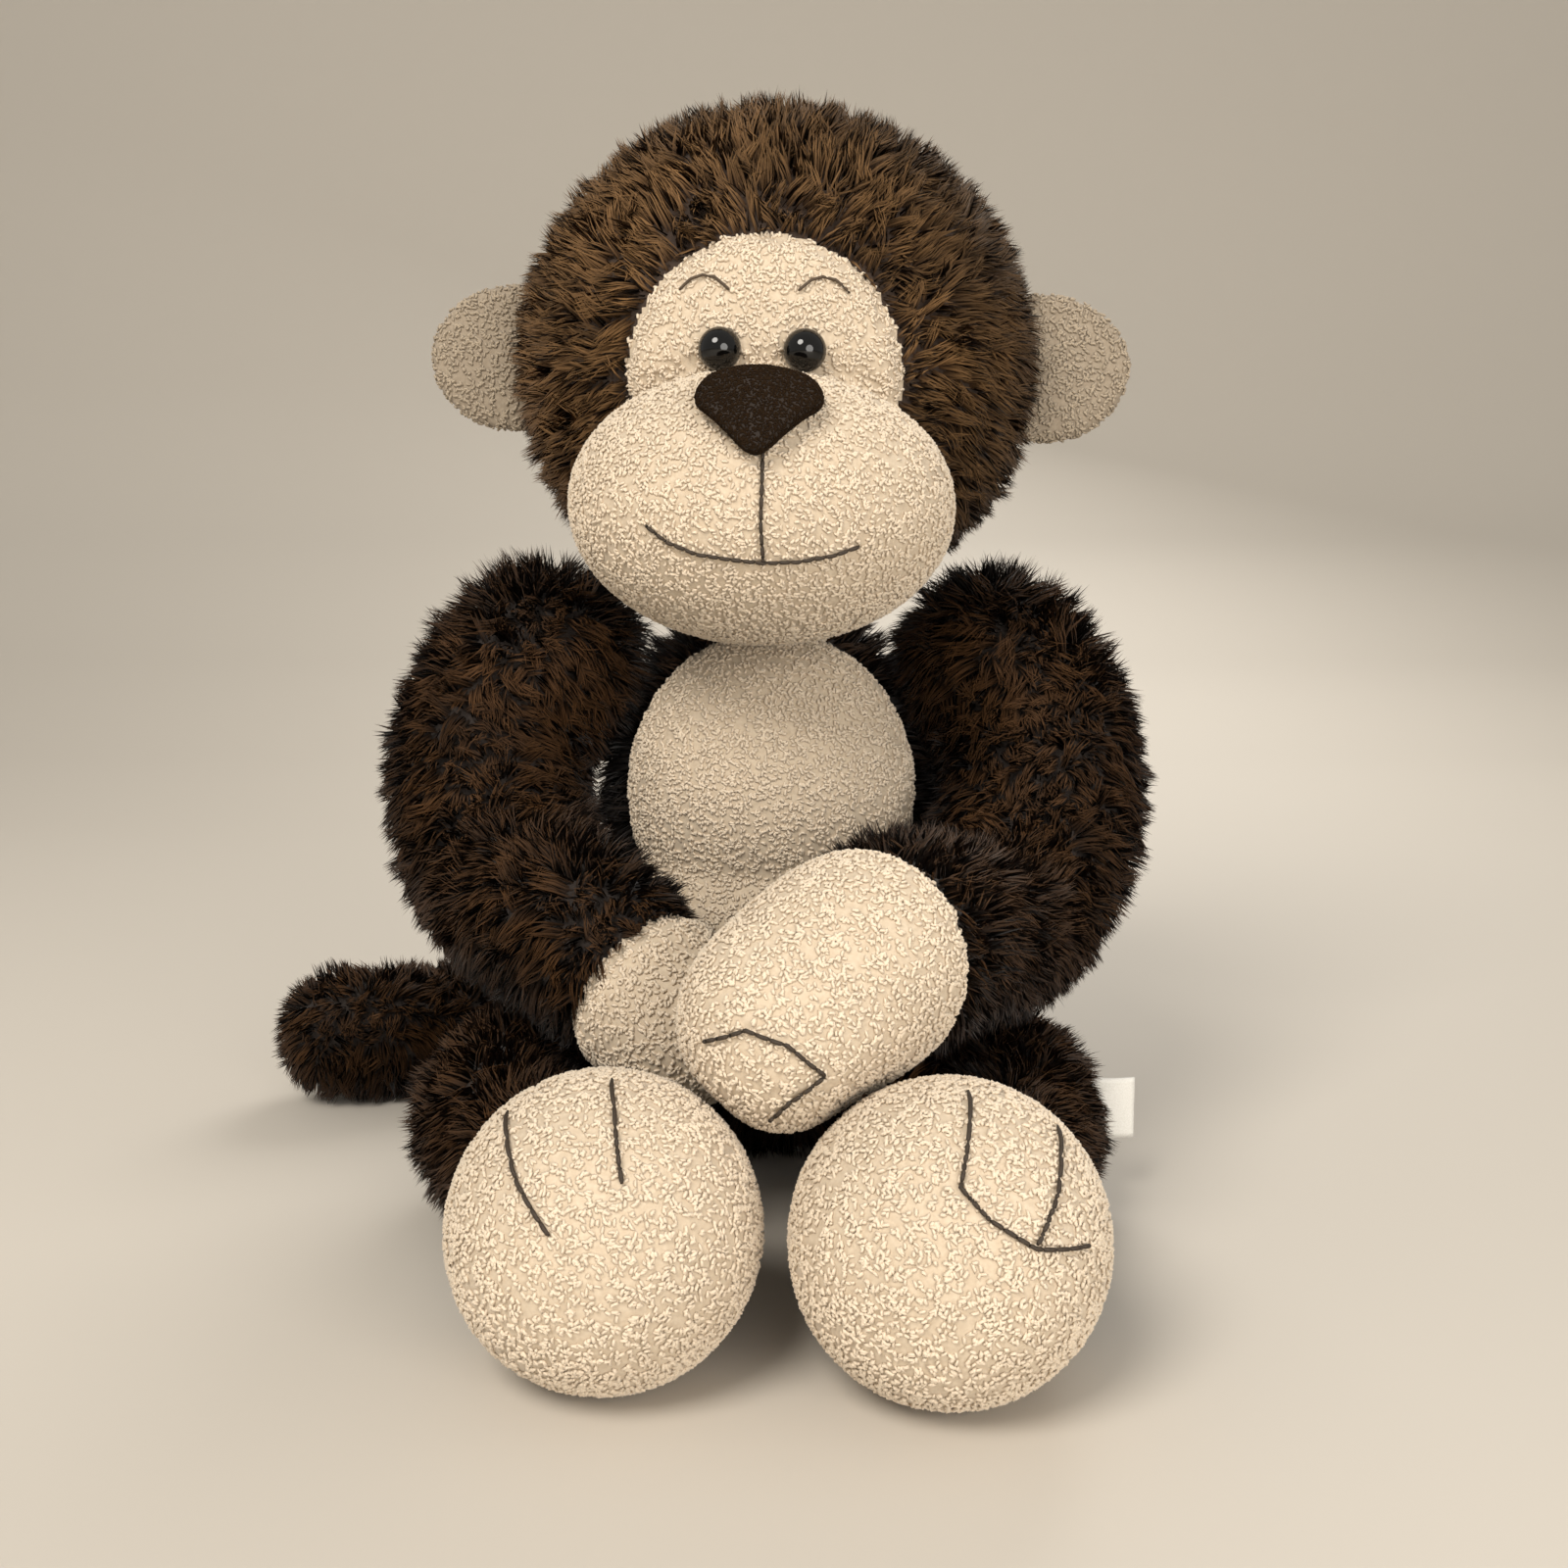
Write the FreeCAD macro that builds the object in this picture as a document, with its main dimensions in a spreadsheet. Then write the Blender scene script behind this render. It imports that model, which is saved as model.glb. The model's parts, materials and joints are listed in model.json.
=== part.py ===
"""A seated stuffed monkey, built as its sewn pieces: cloth, filling, eyes, nose, ears, threads and label.

+Z is up and the monkey faces -Y. The origin is on its middle line, in the flat patch of cloth it sits on.
Left and right are the monkey's own, so left is +X. All sizes are in millimetres.
"""
import FreeCAD, Part
import Sketcher  # noqa: F401  loads the sketch objects
import math
import os

DOC = FreeCAD.newDocument("monkey")
SHEET = DOC.addObject("Spreadsheet::Sheet", "dims")
Vector = FreeCAD.Vector

SIZES = [
    ("skin", 3.0, "fabric skin with its pile pressed down"),
    ("soft_gap", 2.0, "room between pieces that move on each other"),
    ("neck_gap", 1.0, "room between the neck, its gusset and the head"),
    # torso
    ("hip_rx", 60.0, "half width at the hips"),
    ("hip_ry", 56.0, "half depth at the hips"),
    ("hip_rz", 60.0, "half height of the hip part"),
    ("hip_z", 56.0, "centre of the hip part"),
    ("chest_rx", 51.0, "half width of the chest"),
    ("chest_ry", 49.0, "half depth of the chest"),
    ("chest_rz", 56.0, "half height of the chest part"),
    ("chest_y", -2.0, "centre of the chest part"),
    ("chest_z", 116.0, "centre of the chest part"),
    ("belly_rx", 58.0, "half width of the belly panel"),
    ("belly_z", 125.0, "centre of the belly panel"),
    ("belly_front_y", -16.0, "the belly panel lies in front of this plane"),
    ("pouch_rad", 22.0, "pellet pouch radius"),
    ("pouch_y", 5.0, "pellet pouch centre"),
    ("pouch_low", 9.0, "pellet pouch underside"),
    ("pouch_tall", 20.0, "pellet pouch height"),
    ("pouch_round", 8.0, "pellet pouch edge rounding"),
    # neck
    ("neck_y", -4.0, "neck centre, which the head turns and nods about"),
    ("neck_z", 176.0, "neck centre"),
    ("neck_rad", 25.0, "stuffed neck stub"),
    ("gusset_skin", 2.0, "neck gusset thickness"),
    ("gusset_low", 170.0, "lower edge of the gusset band"),
    ("gusset_tall", 20.0, "height of the gusset band"),
    # head
    ("head_rx", 79.0, "half width of the head"),
    ("head_ry", 70.0, "half depth of the head"),
    ("head_rz", 77.0, "half height of the head"),
    ("head_y", -8.0, "centre of the head"),
    ("head_z", 248.0, "centre of the head"),
    ("head_turn", -3.0, "the head rests turned this much, in degrees"),
    ("head_roll", 1.5, "and tilted this much towards its left"),
    ("mask_rad", 40.0, "radius of the arched forehead panel"),
    ("mask_z", 239.0, "centre of that arch"),
    ("mask_back_y", -25.0, "the forehead panel lies in front of this plane"),
    ("muzzle_rx", 56.0, "half width of the muzzle"),
    ("muzzle_ry", 50.0, "half depth of the muzzle"),
    ("muzzle_rz", 40.0, "half height of the muzzle"),
    ("muzzle_y", -64.0, "centre of the muzzle"),
    ("muzzle_z", 203.0, "centre of the muzzle"),
    ("eye_rad", 6.0, "12 mm safety eye"),
    ("eye_x", 11.8, "eyes either side of the middle line"),
    ("eye_y", -77.5, "eye centre"),
    ("eye_z", 245.5, "eye centre"),
    ("shank_rad", 1.6, "eye shank"),
    ("shank_long", 15.0, "eye shank length behind the dome"),
    ("washer_rad", 7.5, "lock washer"),
    ("washer_thick", 1.6, "lock washer"),
    ("washer_in", 5.6, "lock washer behind the eye centre"),
    ("eye_fit", 0.05, "cloth clearance round the eye, its post and its washer"),
    ("nose_wide", 32.0, "nose width"),
    ("nose_top", 235.0, "nose top edge"),
    ("nose_tip", 216.0, "nose lower tip"),
    ("nose_corner", 4.0, "rounding of the nose outline"),
    ("nose_pad", 6.0, "nose thickness"),
    ("ear_x", 84.0, "ear centre"),
    ("ear_z", 250.0, "ear centre"),
    ("ear_rx", 27.0, "ear half width"),
    ("ear_ry", 6.0, "ear half thickness"),
    ("ear_rz", 23.0, "ear half height"),
    # embroidery
    ("thread", 1.3, "width of an embroidered line"),
    ("thread_high", 0.8, "height of an embroidered line"),
    ("thread_deep", 1.2, "how far a line of thread sinks into the cloth of a foot or hand"),
    ("smile_rad", 62.0, "radius of the smile"),
    ("smile_half", 27.0, "half angle of the smile"),
    ("smile_z", 188.0, "lowest point of the smile"),
    ("brow_rad", 8.5, "radius of a brow"),
    ("brow_half", 50.0, "half angle of a brow"),
    ("brow_x", 16.5, "brows either side of the middle line"),
    ("brow_z", 265.0, "top of a brow"),
    # label
    ("label_wide", 18.0, "sewn label width"),
    ("label_out", 16.0, "how far the label stands out of its seam"),
    ("label_thick", 0.8, "folded label thickness"),
]

# Each limb is a row of rounded parts in one tube: name, x, y, z, radius. It joins the torso at the first.
LIMBS = {
    "arm_right": [
        ("shoulder", -73, -10, 155, 30), ("bicep", -87, -18, 134, 31), ("elbow", -79, -48, 93, 29),
        ("wrist", -54, -92, 86, 25), ("hand", -24, -112, 64, 24),
    ],
    "arm_left": [
        ("shoulder", 71, -10, 153, 30), ("bicep", 84, -20, 132, 31), ("elbow", 74, -52, 89, 29),
        ("wrist", 40, -130, 92, 25), ("palm", 20, -160, 90, 28), ("fingers", 5, -170, 80, 27),
    ],
    "leg_right": [
        ("hip", -44, -30, 31, 28), ("knee", -75, -74, 28, 27), ("ankle", -50, -144, 29, 25),
        ("foot", -37, -186, 35, 37),
    ],
    "leg_left": [
        ("hip", 44, -30, 31, 28), ("knee", 68, -72, 28, 27), ("ankle", 52, -148, 29, 25),
        ("foot", 41, -193, 35, 37),
    ],
    "tail": [
        ("root", -34, 48, 21, 18), ("bend", -76, 57, 21, 20), ("middle", -118, 42, 22, 21),
        ("tip", -151, 27, 24, 22),
    ],
}
# Where the brown sleeve ends and the cream hand or foot starts, as a share of the way between two parts.
CUFFS = {
    "arm_right": ("wrist", "hand", 0.55),
    "arm_left": ("wrist", "palm", 0.65),
    "leg_right": ("ankle", "foot", 0.3),
    "leg_left": ("ankle", "foot", 0.3),
}
END_ANGLES = (28, 55, 80)  # latitudes of the rings that round off the end of a limb, in degrees
BIG = 800.0  # side of the blocks that trim a shape


def fill_sheet():
    rows = list(SIZES)
    for limb, parts in LIMBS.items():
        for name, *values in parts:
            for letter, value in zip(("x", "y", "z", "rad"), values):
                rows.append((f"{limb}_{name}_{letter}", value, f"{limb} {name}"))
    for row, (alias, value, note) in enumerate(rows, 1):
        SHEET.set(f"A{row}", note)
        SHEET.set(f"B{row}", str(value))
        SHEET.setAlias(f"B{row}", alias)
    DOC.recompute()


def size(alias):
    return float(SHEET.get(alias))


def bind(obj, **expressions):
    """Ties properties of obj to the sheet. A word such as skin in an expression is written dims.skin."""
    for name, expression in expressions.items():
        obj.setExpression(name, expression)
    return obj


def put(obj, x="0", y="0", z="0"):
    """Ties the place of obj to the sheet."""
    for letter, expression in (("x", x), ("y", y), ("z", z)):
        obj.setExpression(f".Placement.Base.{letter}", expression)
    return obj


def make(kind, name):
    obj = DOC.addObject(kind, name)
    obj.Label = name
    return obj


def ball(name, rad, x="0", y="0", z="0"):
    return put(bind(make("Part::Sphere", name), Radius=rad), x, y, z)


def egg(name, rx, ry, rz, x="0", y="0", z="0"):
    return put(bind(make("Part::Ellipsoid", name), Radius1=rz, Radius2=rx, Radius3=ry), x, y, z)


def rod(name, rad, long, turned=None, x="0", y="0", z="0"):
    obj = bind(make("Part::Cylinder", name), Radius=rad, Height=long)
    if turned:
        obj.Placement.Rotation = turned
    return put(obj, x, y, z)


def block(name, place):
    """A trimming block on the upper side of place's XY plane."""
    obj = make("Part::Box", name)
    obj.Length = obj.Width = obj.Height = BIG
    obj.Placement = place.multiply(FreeCAD.Placement(Vector(-BIG / 2, -BIG / 2, 0), FreeCAD.Rotation()))
    return obj


def fuse(name, *shapes):
    obj = make("Part::MultiFuse", name)
    obj.Shapes = list(shapes)
    return obj


def common(name, *shapes):
    obj = make("Part::MultiCommon", name)
    obj.Shapes = list(shapes)
    return obj


def cut(name, base, *tools):
    """base without tools."""
    obj = make("Part::Cut", name)
    obj.Base = base
    obj.Tool = tools[0] if len(tools) == 1 else fuse(f"{name}_away", *tools)
    return obj


ALONG_Y = FreeCAD.Rotation(Vector(1, 0, 0), 90)  # an upright piece laid down, its top towards -Y
INTO_HEAD = FreeCAD.Rotation(Vector(1, 0, 0), -90)  # an upright piece laid down, its top towards +Y


# ---- limbs

def spot(limb, part):
    return Vector(*(size(f"{limb}_{part}_{letter}") for letter in "xyz"))


def ring(name, rad, centre, way):
    """A circle square to way, for a loft to pass through."""
    circle = bind(make("Part::Circle", name), Radius=rad)
    circle.Placement = FreeCAD.Placement(centre, FreeCAD.Rotation(Vector(0, 0, 1), way))
    return circle


def loft(name, rings):
    tube = make("Part::Loft", name)
    tube.Sections = rings
    tube.Solid = True
    tube.Ruled = False
    return tube


def limb_solid(limb, name, inset):
    """A smooth tube through the rounded parts of a limb, with round ends, all smaller by inset."""
    less = f" - dims.{inset}" if inset else ""
    parts = [part for part, *_ in LIMBS[limb]]
    spots = [spot(limb, part) for part in parts]
    ways = [(there - here).normalize() for here, there in zip(spots, spots[1:])]
    slim = size(inset) if inset else 0

    def round_end(part, middle, outward, square_to):
        """Rings from the middle of an end part out to its tip."""
        reach = size(f"{limb}_{part}_rad") - slim
        rings = []
        for angle in END_ANGLES:
            share, out = math.cos(math.radians(angle)), math.sin(math.radians(angle)) * reach
            rad = f"(dims.{limb}_{part}_rad{less}) * {share:.4f}"
            rings.append(ring(f"{name}_{part}_at_{angle}", rad, middle + outward * out, square_to))
        return rings

    rings = round_end(parts[0], spots[0], ways[0] * -1, ways[0])[::-1]
    for number, part in enumerate(parts):
        way = (ways[max(number - 1, 0)] + ways[min(number, len(ways) - 1)]).normalize()
        rings.append(ring(f"{name}_{part}", f"dims.{limb}_{part}_rad{less}", spots[number], way))
    rings += round_end(parts[-1], spots[-1], ways[-1], ways[-1])
    return loft(name, rings)


def cuff_block(limb):
    """Holds everything past the cuff."""
    here, there, share = CUFFS[limb]
    start, way = spot(limb, here), spot(limb, there) - spot(limb, here)
    square_to_limb = FreeCAD.Rotation(Vector(0, 0, 1), way)
    return block(f"{limb}_past_cuff", FreeCAD.Placement(start + way * share, square_to_limb))


def above(name, height):
    """Everything over a level plane."""
    return block(name, FreeCAD.Placement(Vector(0, 0, height), FreeCAD.Rotation()))


def limb_pieces(limb, sleeve, end, filling, dents=()):
    """One limb's sleeve, hand or foot, and filling, with dents where it rests on other limbs."""
    outer, inner = limb_solid(limb, f"{limb}_outside", ""), limb_solid(limb, f"{limb}_inside", "skin")
    if limb.startswith("leg"):
        outer = common(f"{limb}_outer", outer, above(f"{limb}_over_floor", 0))
        inner = common(f"{limb}_inner", inner, above(f"{limb}_over_sole", size("skin")))
    if dents:
        outside = [dent(f"{limb}_by_{other}_{part}", other, part, 0) for other, part in dents]
        inside = [dent(f"{filling}_by_{other}_{part}", other, part, 1) for other, part in dents]
        outer = cut(f"{limb}_dented", outer, *outside)
        inner = cut(filling, inner, *inside)
    else:
        inner.Label = filling
    skin = cut(f"{limb}_skin", outer, inner)
    if not end:
        skin.Label = sleeve
        return [skin, inner]
    past = cuff_block(limb)
    return [cut(sleeve, skin, past), common(end, skin, past), inner]


def dent(name, limb, part, skins):
    """Room for one rounded part of another limb, deeper by a number of fabric skins."""
    cell = f"dims.{limb}_{part}"
    rad = f"{cell}_rad + dims.soft_gap + {skins} * dims.skin"
    return ball(name, rad, f"{cell}_x", f"{cell}_y", f"{cell}_z")


# ---- torso

def torso_solid(name, inset):
    """Hips, chest and neck ball in one, all smaller by inset."""
    less = f" - dims.{inset}" if inset else ""
    hips = egg(f"{name}_hips", f"dims.hip_rx{less}", f"dims.hip_ry{less}", f"dims.hip_rz{less}",
               z="dims.hip_z")
    chest = egg(f"{name}_chest", f"dims.chest_rx{less}", f"dims.chest_ry{less}", f"dims.chest_rz{less}",
                y="dims.chest_y", z="dims.chest_z")
    stub = ball(f"{name}_neck", f"dims.neck_rad{less}", y="dims.neck_y", z="dims.neck_z")
    return fuse(name, hips, chest, stub)


def torso_pieces():
    """The torso's cloth, its belly panel, its filling and the pellet pouch, with sockets for the limbs."""
    sockets = [(limb, LIMBS[limb][0][0]) for limb in LIMBS]
    outer = common("torso_outer", torso_solid("torso_outside", ""), above("torso_over_floor", 0))
    outer = cut("torso_dented", outer, *(dent(f"socket_{limb}", limb, part, 0) for limb, part in sockets))
    inner = common("torso_inner", torso_solid("torso_inside", "skin"), above("torso_over_seat", size("skin")))
    inner = cut("torso_room", inner, *(dent(f"inner_socket_{limb}", limb, part, 1) for limb, part in sockets))
    skin = cut("torso_skin", outer, inner)
    panel = common("belly_zone", belly_prism(), block(
        "belly_front", FreeCAD.Placement(Vector(0, size("belly_front_y"), 0), ALONG_Y)))
    pouch = rounded_pouch()
    return [
        cut("torso_fur", skin, panel),
        common("belly_panel", skin, panel),
        cut("torso_stuffing", inner, pouch),
        pouch,
    ]


def belly_prism():
    """The round outline of the belly panel, seen from the front."""
    return rod("belly_outline", "dims.belly_rx", f"{BIG}", ALONG_Y, y=f"{BIG / 2}", z="dims.belly_z")


def rounded_pouch():
    """The pellet pouch in the seat, a flat round bag."""
    core = rod("pouch_core", "dims.pouch_rad", "dims.pouch_tall", y="dims.pouch_y", z="dims.pouch_low")
    DOC.recompute()
    rounded = make("Part::Fillet", "seat_pellet_pouch")
    rounded.Base = core
    edge = size("pouch_round")
    rounded.Edges = [(number, edge, edge) for number, item in enumerate(core.Shape.Edges, 1) if item.Closed]
    return rounded


# ---- neck and head

def neck_gusset():
    """A band of cloth round the neck ball, which turns on it and which the head nods on."""
    at_neck = {"y": "dims.neck_y", "z": "dims.neck_z"}
    ring = cut(
        "gusset_ball",
        ball("gusset_out", "dims.neck_rad + dims.neck_gap + dims.gusset_skin", **at_neck),
        ball("gusset_in", "dims.neck_rad + dims.neck_gap", **at_neck),
    )
    band = rod("gusset_band", "dims.neck_rad * 2", "dims.gusset_tall", y="dims.neck_y", z="dims.gusset_low")
    return common("neck_gusset", ring, band)


def head_place():
    """How the head sits on the neck: turned and tilted a little about the neck centre."""
    turn = FreeCAD.Rotation(Vector(0, 0, 1), size("head_turn"))
    roll = FreeCAD.Rotation(Vector(0, 1, 0), size("head_roll"))
    return FreeCAD.Placement(Vector(0, 0, 0), turn.multiply(roll), Vector(0, size("neck_y"), size("neck_z")))


def on_head(obj):
    """Moves a finished piece with the head's turn and tilt."""
    obj.Placement = head_place()
    return obj


def head_egg(name, more):
    return egg(name, f"dims.head_rx + {more}", f"dims.head_ry + {more}", f"dims.head_rz + {more}",
               y="dims.head_y", z="dims.head_z")


def muzzle_egg(name, more):
    return egg(name, f"dims.muzzle_rx + {more}", f"dims.muzzle_ry + {more}", f"dims.muzzle_rz + {more}",
               y="dims.muzzle_y", z="dims.muzzle_z")


def head_tools():
    """All that takes room out of the head's cloth and filling: the neck, and the eyes with their posts."""
    socket = ball("neck_socket", "dims.neck_rad + 2 * dims.neck_gap + dims.gusset_skin",
                  y="dims.neck_y", z="dims.neck_z")
    return [socket] + [eye_room(side) for side in (-1, 1)]


def eye_room(side):
    """The hole that an eye, its post and its lock washer fill."""
    name = "eye_room_right" if side < 0 else "eye_room_left"
    place = {"x": f"{side} * dims.eye_x", "y": "dims.eye_y", "z": "dims.eye_z"}
    dome = ball(f"{name}_dome", "dims.eye_rad + dims.eye_fit", **place)
    post = rod(f"{name}_post", "dims.shank_rad + dims.eye_fit", "dims.shank_long + dims.eye_fit",
               INTO_HEAD, **place)
    seat = dict(place, y="dims.eye_y + dims.washer_in - dims.eye_fit")
    washer = rod(f"{name}_washer", "dims.washer_rad + dims.eye_fit", "dims.washer_thick + 2 * dims.eye_fit",
                 INTO_HEAD, **seat)
    return fuse(name, dome, post, washer)


def eye_pieces(side):
    """A safety eye, a dome on a post, and the washer that locks it behind the cloth."""
    word = "right" if side < 0 else "left"
    place = {"x": f"{side} * dims.eye_x", "y": "dims.eye_y", "z": "dims.eye_z"}
    dome = ball(f"eye_dome_{word}", "dims.eye_rad", **place)
    post = rod(f"eye_post_{word}", "dims.shank_rad", "dims.shank_long", INTO_HEAD, **place)
    seat = dict(place, y="dims.eye_y + dims.washer_in")
    front = block(f"eye_front_{word}", FreeCAD.Placement(
        Vector(0, size("eye_y") + size("washer_in") - 2 * size("eye_fit"), 0), ALONG_Y))
    eye = fuse(f"eye_{word}", common(f"eye_cap_{word}", dome, front), post)
    washer = cut(
        f"eye_washer_{word}",
        rod(f"washer_disc_{word}", "dims.washer_rad", "dims.washer_thick", INTO_HEAD, **seat),
        rod(f"washer_bore_{word}", "dims.shank_rad + dims.eye_fit", "dims.shank_long", INTO_HEAD, **place),
    )
    return [on_head(eye), on_head(washer)]


def head_pieces():
    """The head's pile cloth, forehead panel, muzzle panel and filling."""
    inner = fuse("head_inner", head_egg("head_egg_inner", "-dims.skin"),
                 muzzle_egg("muzzle_egg_inner", "-dims.skin"))
    away = head_tools()
    head_skin = cut("head_skin", head_egg("head_egg_outer", "0"), inner,
                    muzzle_egg("muzzle_hole", "0"), *away)
    muzzle_skin = cut("muzzle_skin", muzzle_egg("muzzle_egg_outer", "0"), head_egg("head_hole", "0"),
                      muzzle_egg("muzzle_egg_hollow", "-dims.skin"), *away)
    mask = common(
        "mask_zone",
        rod("mask_arch", "dims.mask_rad", f"{BIG}", ALONG_Y, z="dims.mask_z"),
        block("face_side", FreeCAD.Placement(Vector(0, size("mask_back_y"), 0), ALONG_Y)),
    )
    pieces = [
        cut("head_fur", head_skin, mask),
        common("forehead_panel", head_skin, mask),
        muzzle_skin,
        cut("head_stuffing", inner, *away),
    ]
    muzzle_skin.Label = "muzzle_panel"
    return [on_head(piece) for piece in pieces]


def nose_piece():
    """A padded, rounded triangle that lies on the front of the muzzle."""
    wide, top, tip, corner = (size(f"nose_{word}") for word in ("wide", "top", "tip", "corner"))
    sketch_plane = FreeCAD.Placement(Vector(0, size("muzzle_y"), 0), ALONG_Y)
    outline = make("Sketcher::SketchObject", "nose_outline")
    corners = [(-wide / 2, top - corner), (wide / 2, top - corner), (0, tip)]
    centres = [(-wide / 2 + corner, top - corner), (wide / 2 - corner, top - corner), (0, tip + corner)]
    add_round_outline(outline, centres, corner)
    outline.Placement = sketch_plane
    pad = make("Part::Extrusion", "nose_block")
    pad.Base = outline
    pad.DirMode = "Normal"
    pad.Solid = True
    pad.LengthFwd = BIG / 4
    shell = cut("nose_pad", muzzle_egg("nose_front", "dims.nose_pad"), muzzle_egg("nose_back", "0"))
    return on_head(common("nose", pad, shell))


def add_round_outline(sketch, centres, rad):
    """A closed line round three circles of radius rad, its corners the circles' arcs."""
    points = []
    for here, there in zip(centres, centres[1:] + centres[:1]):
        along = Vector(there[0] - here[0], there[1] - here[1], 0).normalize()
        out = Vector(-along.y, along.x, 0) * rad
        points.append((Vector(*here, 0) + out, Vector(*there, 0) + out))
    for number, (start, end) in enumerate(points):
        sketch.addGeometry(Part.LineSegment(start, end))
        corner = Vector(*centres[(number + 1) % 3], 0)
        following = points[(number + 1) % 3][0]
        middle = ((end + following) * 0.5 - corner).normalize() * rad + corner
        sketch.addGeometry(Part.Arc(end, middle, following))


def ear_piece(side):
    """A flat padded oval sewn into the side of the head, its own seam turned away from the head."""
    name = "ear_right" if side < 0 else "ear_left"
    pad = egg(f"{name}_pad", "dims.ear_rx", "dims.ear_ry", "dims.ear_rz")
    pad.Placement.Rotation = FreeCAD.Rotation(Vector(0, 0, 1), 90 - 90 * side)
    put(pad, f"{side} * dims.ear_x", "dims.head_y + 3", "dims.ear_z")
    return on_head(cut(name, pad, head_egg(f"{name}_seam", "0")))


# ---- embroidery and label

def arc_wall(name, x, back, z, rad, half_angle, way):
    """An arched wall of thread width, in front of the depth back: way is 90 for an arch, 270 for a bowl."""
    reach = size("thread") / 2
    ring = cut(
        f"{name}_ring",
        rod(f"{name}_ring_out", f"{rad} + {reach}", f"{BIG / 2}", ALONG_Y, f"{x}", f"{back}", f"{z}"),
        rod(f"{name}_ring_in", f"{rad} - {reach}", f"{BIG / 2}", ALONG_Y, f"{x}", f"{back}", f"{z}"),
    )
    wedge = make("Part::Cylinder", f"{name}_wedge")
    wedge.Radius = 2 * rad
    wedge.Height = BIG / 2
    wedge.Angle = 2 * half_angle
    start = FreeCAD.Rotation(Vector(0, 0, 1), way - half_angle)
    wedge.Placement = FreeCAD.Placement(Vector(x, back, z), ALONG_Y.multiply(start))
    return common(f"{name}_wall", ring, wedge)


def brow_pieces():
    """Two small arched lines of thread on the forehead."""
    layer = cut("brow_layer", head_egg("brow_outside", "dims.thread_high"), head_egg("brow_inside", "0"))
    rad = size("brow_rad")
    pieces = []
    for word, side in (("right", -1), ("left", 1)):
        across, low = side * size("brow_x"), size("brow_z") - rad
        wall = arc_wall(f"brow_{word}", across, 0, low, rad, size("brow_half"), 90)
        pieces.append(on_head(common(f"brow_stitches_{word}", layer, wall)))
    return pieces


def mouth_piece():
    """The smile and the short line from it up to the nose."""
    layer = cut("mouth_layer", muzzle_egg("mouth_outside", "dims.thread_high"),
                muzzle_egg("mouth_inside", "0"))
    rad = size("smile_rad")
    back = size("muzzle_y")
    smile = arc_wall("smile", 0, back, size("smile_z") + rad, rad, size("smile_half"), 270)
    line = make("Part::Box", "lip_line_wall")
    bind(line, Length="dims.thread", Width=f"{BIG / 2}", Height="dims.nose_tip - dims.smile_z - 2")
    put(line, "-dims.thread / 2", f"dims.muzzle_y - {BIG / 2}", "dims.smile_z")
    return on_head(common("mouth_stitches", layer, fuse("mouth_walls", smile, line)))


# Embroidered lines on the feet and the left hand, seen from the front: how far to the side of and above the
# middle of that rounded part, lean from upright towards the monkey's left in degrees, and length.
LINES = {
    "toe_stitches_right": ("leg_right", "foot", [(-17, 13, -28, 24), (1, 20, -22, 24)]),
    "toe_stitches_left": ("leg_left", "foot", [(4, 20, 20, 22), (20, 6, 38, 13), (14, 1, 108, 27)]),
    "hand_stitches_left": ("arm_left", "fingers", [(-3, 2, 84, 24), (0, -10, 42, 17)]),
}


def limb_lines(name):
    """Raised lines of thread on the front of one rounded part of a limb."""
    limb, part, lines = LINES[name]
    cell = f"dims.{limb}_{part}"
    place = {letter: f"{cell}_{letter}" for letter in "xyz"}
    layer = cut(
        f"{name}_layer",
        ball(f"{name}_outside", f"{cell}_rad + dims.thread_high", **place),
        ball(f"{name}_inside", f"{cell}_rad - dims.thread_deep", **place),
    )
    middle = spot(limb, part)
    walls = []
    for number, (across, up, lean, long) in enumerate(lines):
        wall = make("Part::Box", f"{name}_wall_{number}")
        bind(wall, Length="dims.thread")
        wall.Width = BIG / 4
        wall.Height = long
        turn = FreeCAD.Rotation(Vector(0, 1, 0), lean)
        corner = middle + Vector(across, -BIG / 4, up) - turn.multVec(Vector(size("thread") / 2, 0, long / 2))
        wall.Placement = FreeCAD.Placement(corner, turn)
        walls.append(wall)
    return common(name, layer, fuse(f"{name}_walls", *walls))


def label_piece():
    """The blank folded label sewn into the outer seam of the left leg."""
    tab = bind(
        make("Part::Box", "label_tab"),
        Length="dims.label_out", Width="dims.label_thick", Height="dims.label_wide",
    )
    put(tab, "dims.leg_left_knee_x + dims.leg_left_knee_rad - 4",
        "dims.leg_left_knee_y - dims.label_thick / 2",
        "dims.leg_left_knee_z - dims.label_wide / 2")
    return cut("sewn_label", tab, DOC.getObject("leg_left_outside"))


# ---- all pieces

def build():
    fill_sheet()
    pieces = torso_pieces()
    pieces += [neck_gusset()]
    pieces += head_pieces()
    pieces += [nose_piece(), mouth_piece()] + brow_pieces()
    for side in (-1, 1):
        pieces += eye_pieces(side) + [ear_piece(side)]
    for word in ("right", "left"):
        pieces += limb_pieces(f"leg_{word}", f"leg_fur_{word}", f"foot_{word}", f"leg_stuffing_{word}")
    feet = [("leg_left", "foot"), ("leg_right", "foot")]
    pieces += limb_pieces("arm_right", "arm_fur_right", "hand_right", "arm_stuffing_right")
    pieces += limb_pieces("arm_left", "arm_fur_left", "hand_left", "arm_stuffing_left", feet)
    pieces += limb_pieces("tail", "tail_fur", "", "tail_stuffing")
    pieces += [limb_lines(name) for name in LINES]
    pieces += [label_piece()]
    DOC.recompute()
    return pieces


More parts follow.
